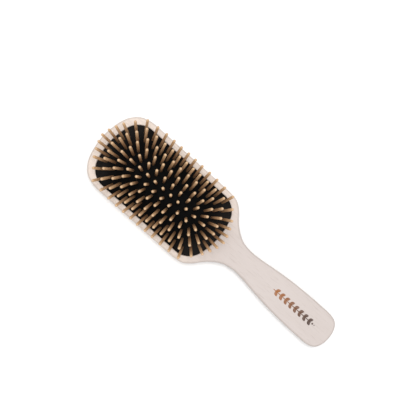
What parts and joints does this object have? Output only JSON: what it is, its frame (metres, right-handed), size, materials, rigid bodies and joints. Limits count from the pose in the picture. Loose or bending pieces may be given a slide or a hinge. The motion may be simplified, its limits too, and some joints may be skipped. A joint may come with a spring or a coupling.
{
  "type": "paddle brush",
  "caption": "Paddle hair brush: a flat wooden head and handle, and a domed rubber air cushion that carries rows of round-tipped wooden pins, which press in and rock.",
  "frame": {"origin": "on the flat back, under the middle of the cushion", "axes": "+X along the handle towards its end, +Y across the head, +Z the way the pins point"},
  "size_m": [0.2423, 0.0692, 0.0432],
  "materials": {
    "pale_wood": "whitewashed, fine-sanded, matte",
    "black_rubber": "matte moulded rubber",
    "pin_wood": "turned and tumbled smooth, with rounded tips"
  },
  "bodies": {
    "wood": {"wood_body": "pale_wood"},
    "air_cushion": {"cushion": "black_rubber"},
    "row_01": {"pin_row_01": "pin_wood"},
    "row_02": {"pin_row_02": "pin_wood"},
    "row_03": {"pin_row_03": "pin_wood"},
    "row_04": {"pin_row_04": "pin_wood"},
    "row_05": {"pin_row_05": "pin_wood"},
    "row_06": {"pin_row_06": "pin_wood"},
    "row_07": {"pin_row_07": "pin_wood"},
    "row_08": {"pin_row_08": "pin_wood"},
    "row_09": {"pin_row_09": "pin_wood"},
    "row_10": {"pin_row_10": "pin_wood"},
    "row_11": {"pin_row_11": "pin_wood"}
  },
  "joints": [
    {"name": "cushion_press", "type": "slide", "parent": "wood", "child": "air_cushion", "axis": [0, 0, -1], "range_m": [0, 0.003], "stiffness_N_per_m": 8000, "deforming": ["cushion"]},
    {"name": "pin_rock_01", "type": "hinge", "parent": "air_cushion", "child": "row_01", "pos_m": [0, -0.02375, 0.01535], "axis": [1, 0, 0], "range_deg": [-8, 8], "stiffness_Nm_per_rad": 0.3},
    {"name": "pin_rock_02", "type": "hinge", "parent": "air_cushion", "child": "row_02", "pos_m": [0, -0.019, 0.01745], "axis": [1, 0, 0], "range_deg": [-8, 8], "stiffness_Nm_per_rad": 0.3},
    {"name": "pin_rock_03", "type": "hinge", "parent": "air_cushion", "child": "row_03", "pos_m": [0, -0.01425, 0.01909], "axis": [1, 0, 0], "range_deg": [-8, 8], "stiffness_Nm_per_rad": 0.3},
    {"name": "pin_rock_04", "type": "hinge", "parent": "air_cushion", "child": "row_04", "pos_m": [0, -0.0095, 0.02026], "axis": [1, 0, 0], "range_deg": [-8, 8], "stiffness_Nm_per_rad": 0.3},
    {"name": "pin_rock_05", "type": "hinge", "parent": "air_cushion", "child": "row_05", "pos_m": [0, -0.00475, 0.02097], "axis": [1, 0, 0], "range_deg": [-8, 8], "stiffness_Nm_per_rad": 0.3},
    {"name": "pin_rock_06", "type": "hinge", "parent": "air_cushion", "child": "row_06", "pos_m": [0, 0, 0.0212], "axis": [1, 0, 0], "range_deg": [-8, 8], "stiffness_Nm_per_rad": 0.3},
    {"name": "pin_rock_07", "type": "hinge", "parent": "air_cushion", "child": "row_07", "pos_m": [0, 0.00475, 0.02097], "axis": [1, 0, 0], "range_deg": [-8, 8], "stiffness_Nm_per_rad": 0.3},
    {"name": "pin_rock_08", "type": "hinge", "parent": "air_cushion", "child": "row_08", "pos_m": [0, 0.0095, 0.02026], "axis": [1, 0, 0], "range_deg": [-8, 8], "stiffness_Nm_per_rad": 0.3},
    {"name": "pin_rock_09", "type": "hinge", "parent": "air_cushion", "child": "row_09", "pos_m": [0, 0.01425, 0.01909], "axis": [1, 0, 0], "range_deg": [-8, 8], "stiffness_Nm_per_rad": 0.3},
    {"name": "pin_rock_10", "type": "hinge", "parent": "air_cushion", "child": "row_10", "pos_m": [0, 0.019, 0.01745], "axis": [1, 0, 0], "range_deg": [-8, 8], "stiffness_Nm_per_rad": 0.3},
    {"name": "pin_rock_11", "type": "hinge", "parent": "air_cushion", "child": "row_11", "pos_m": [0, 0.02375, 0.01535], "axis": [1, 0, 0], "range_deg": [-8, 8], "stiffness_Nm_per_rad": 0.3}
  ],
  "couplings": [
    {"joint": "pin_rock_01", "follows": "pin_rock_06", "ratio": 1},
    {"joint": "pin_rock_02", "follows": "pin_rock_06", "ratio": 1},
    {"joint": "pin_rock_03", "follows": "pin_rock_06", "ratio": 1},
    {"joint": "pin_rock_04", "follows": "pin_rock_06", "ratio": 1},
    {"joint": "pin_rock_05", "follows": "pin_rock_06", "ratio": 1},
    {"joint": "pin_rock_07", "follows": "pin_rock_06", "ratio": 1},
    {"joint": "pin_rock_08", "follows": "pin_rock_06", "ratio": 1},
    {"joint": "pin_rock_09", "follows": "pin_rock_06", "ratio": 1},
    {"joint": "pin_rock_10", "follows": "pin_rock_06", "ratio": 1},
    {"joint": "pin_rock_11", "follows": "pin_rock_06", "ratio": 1}
  ]
}
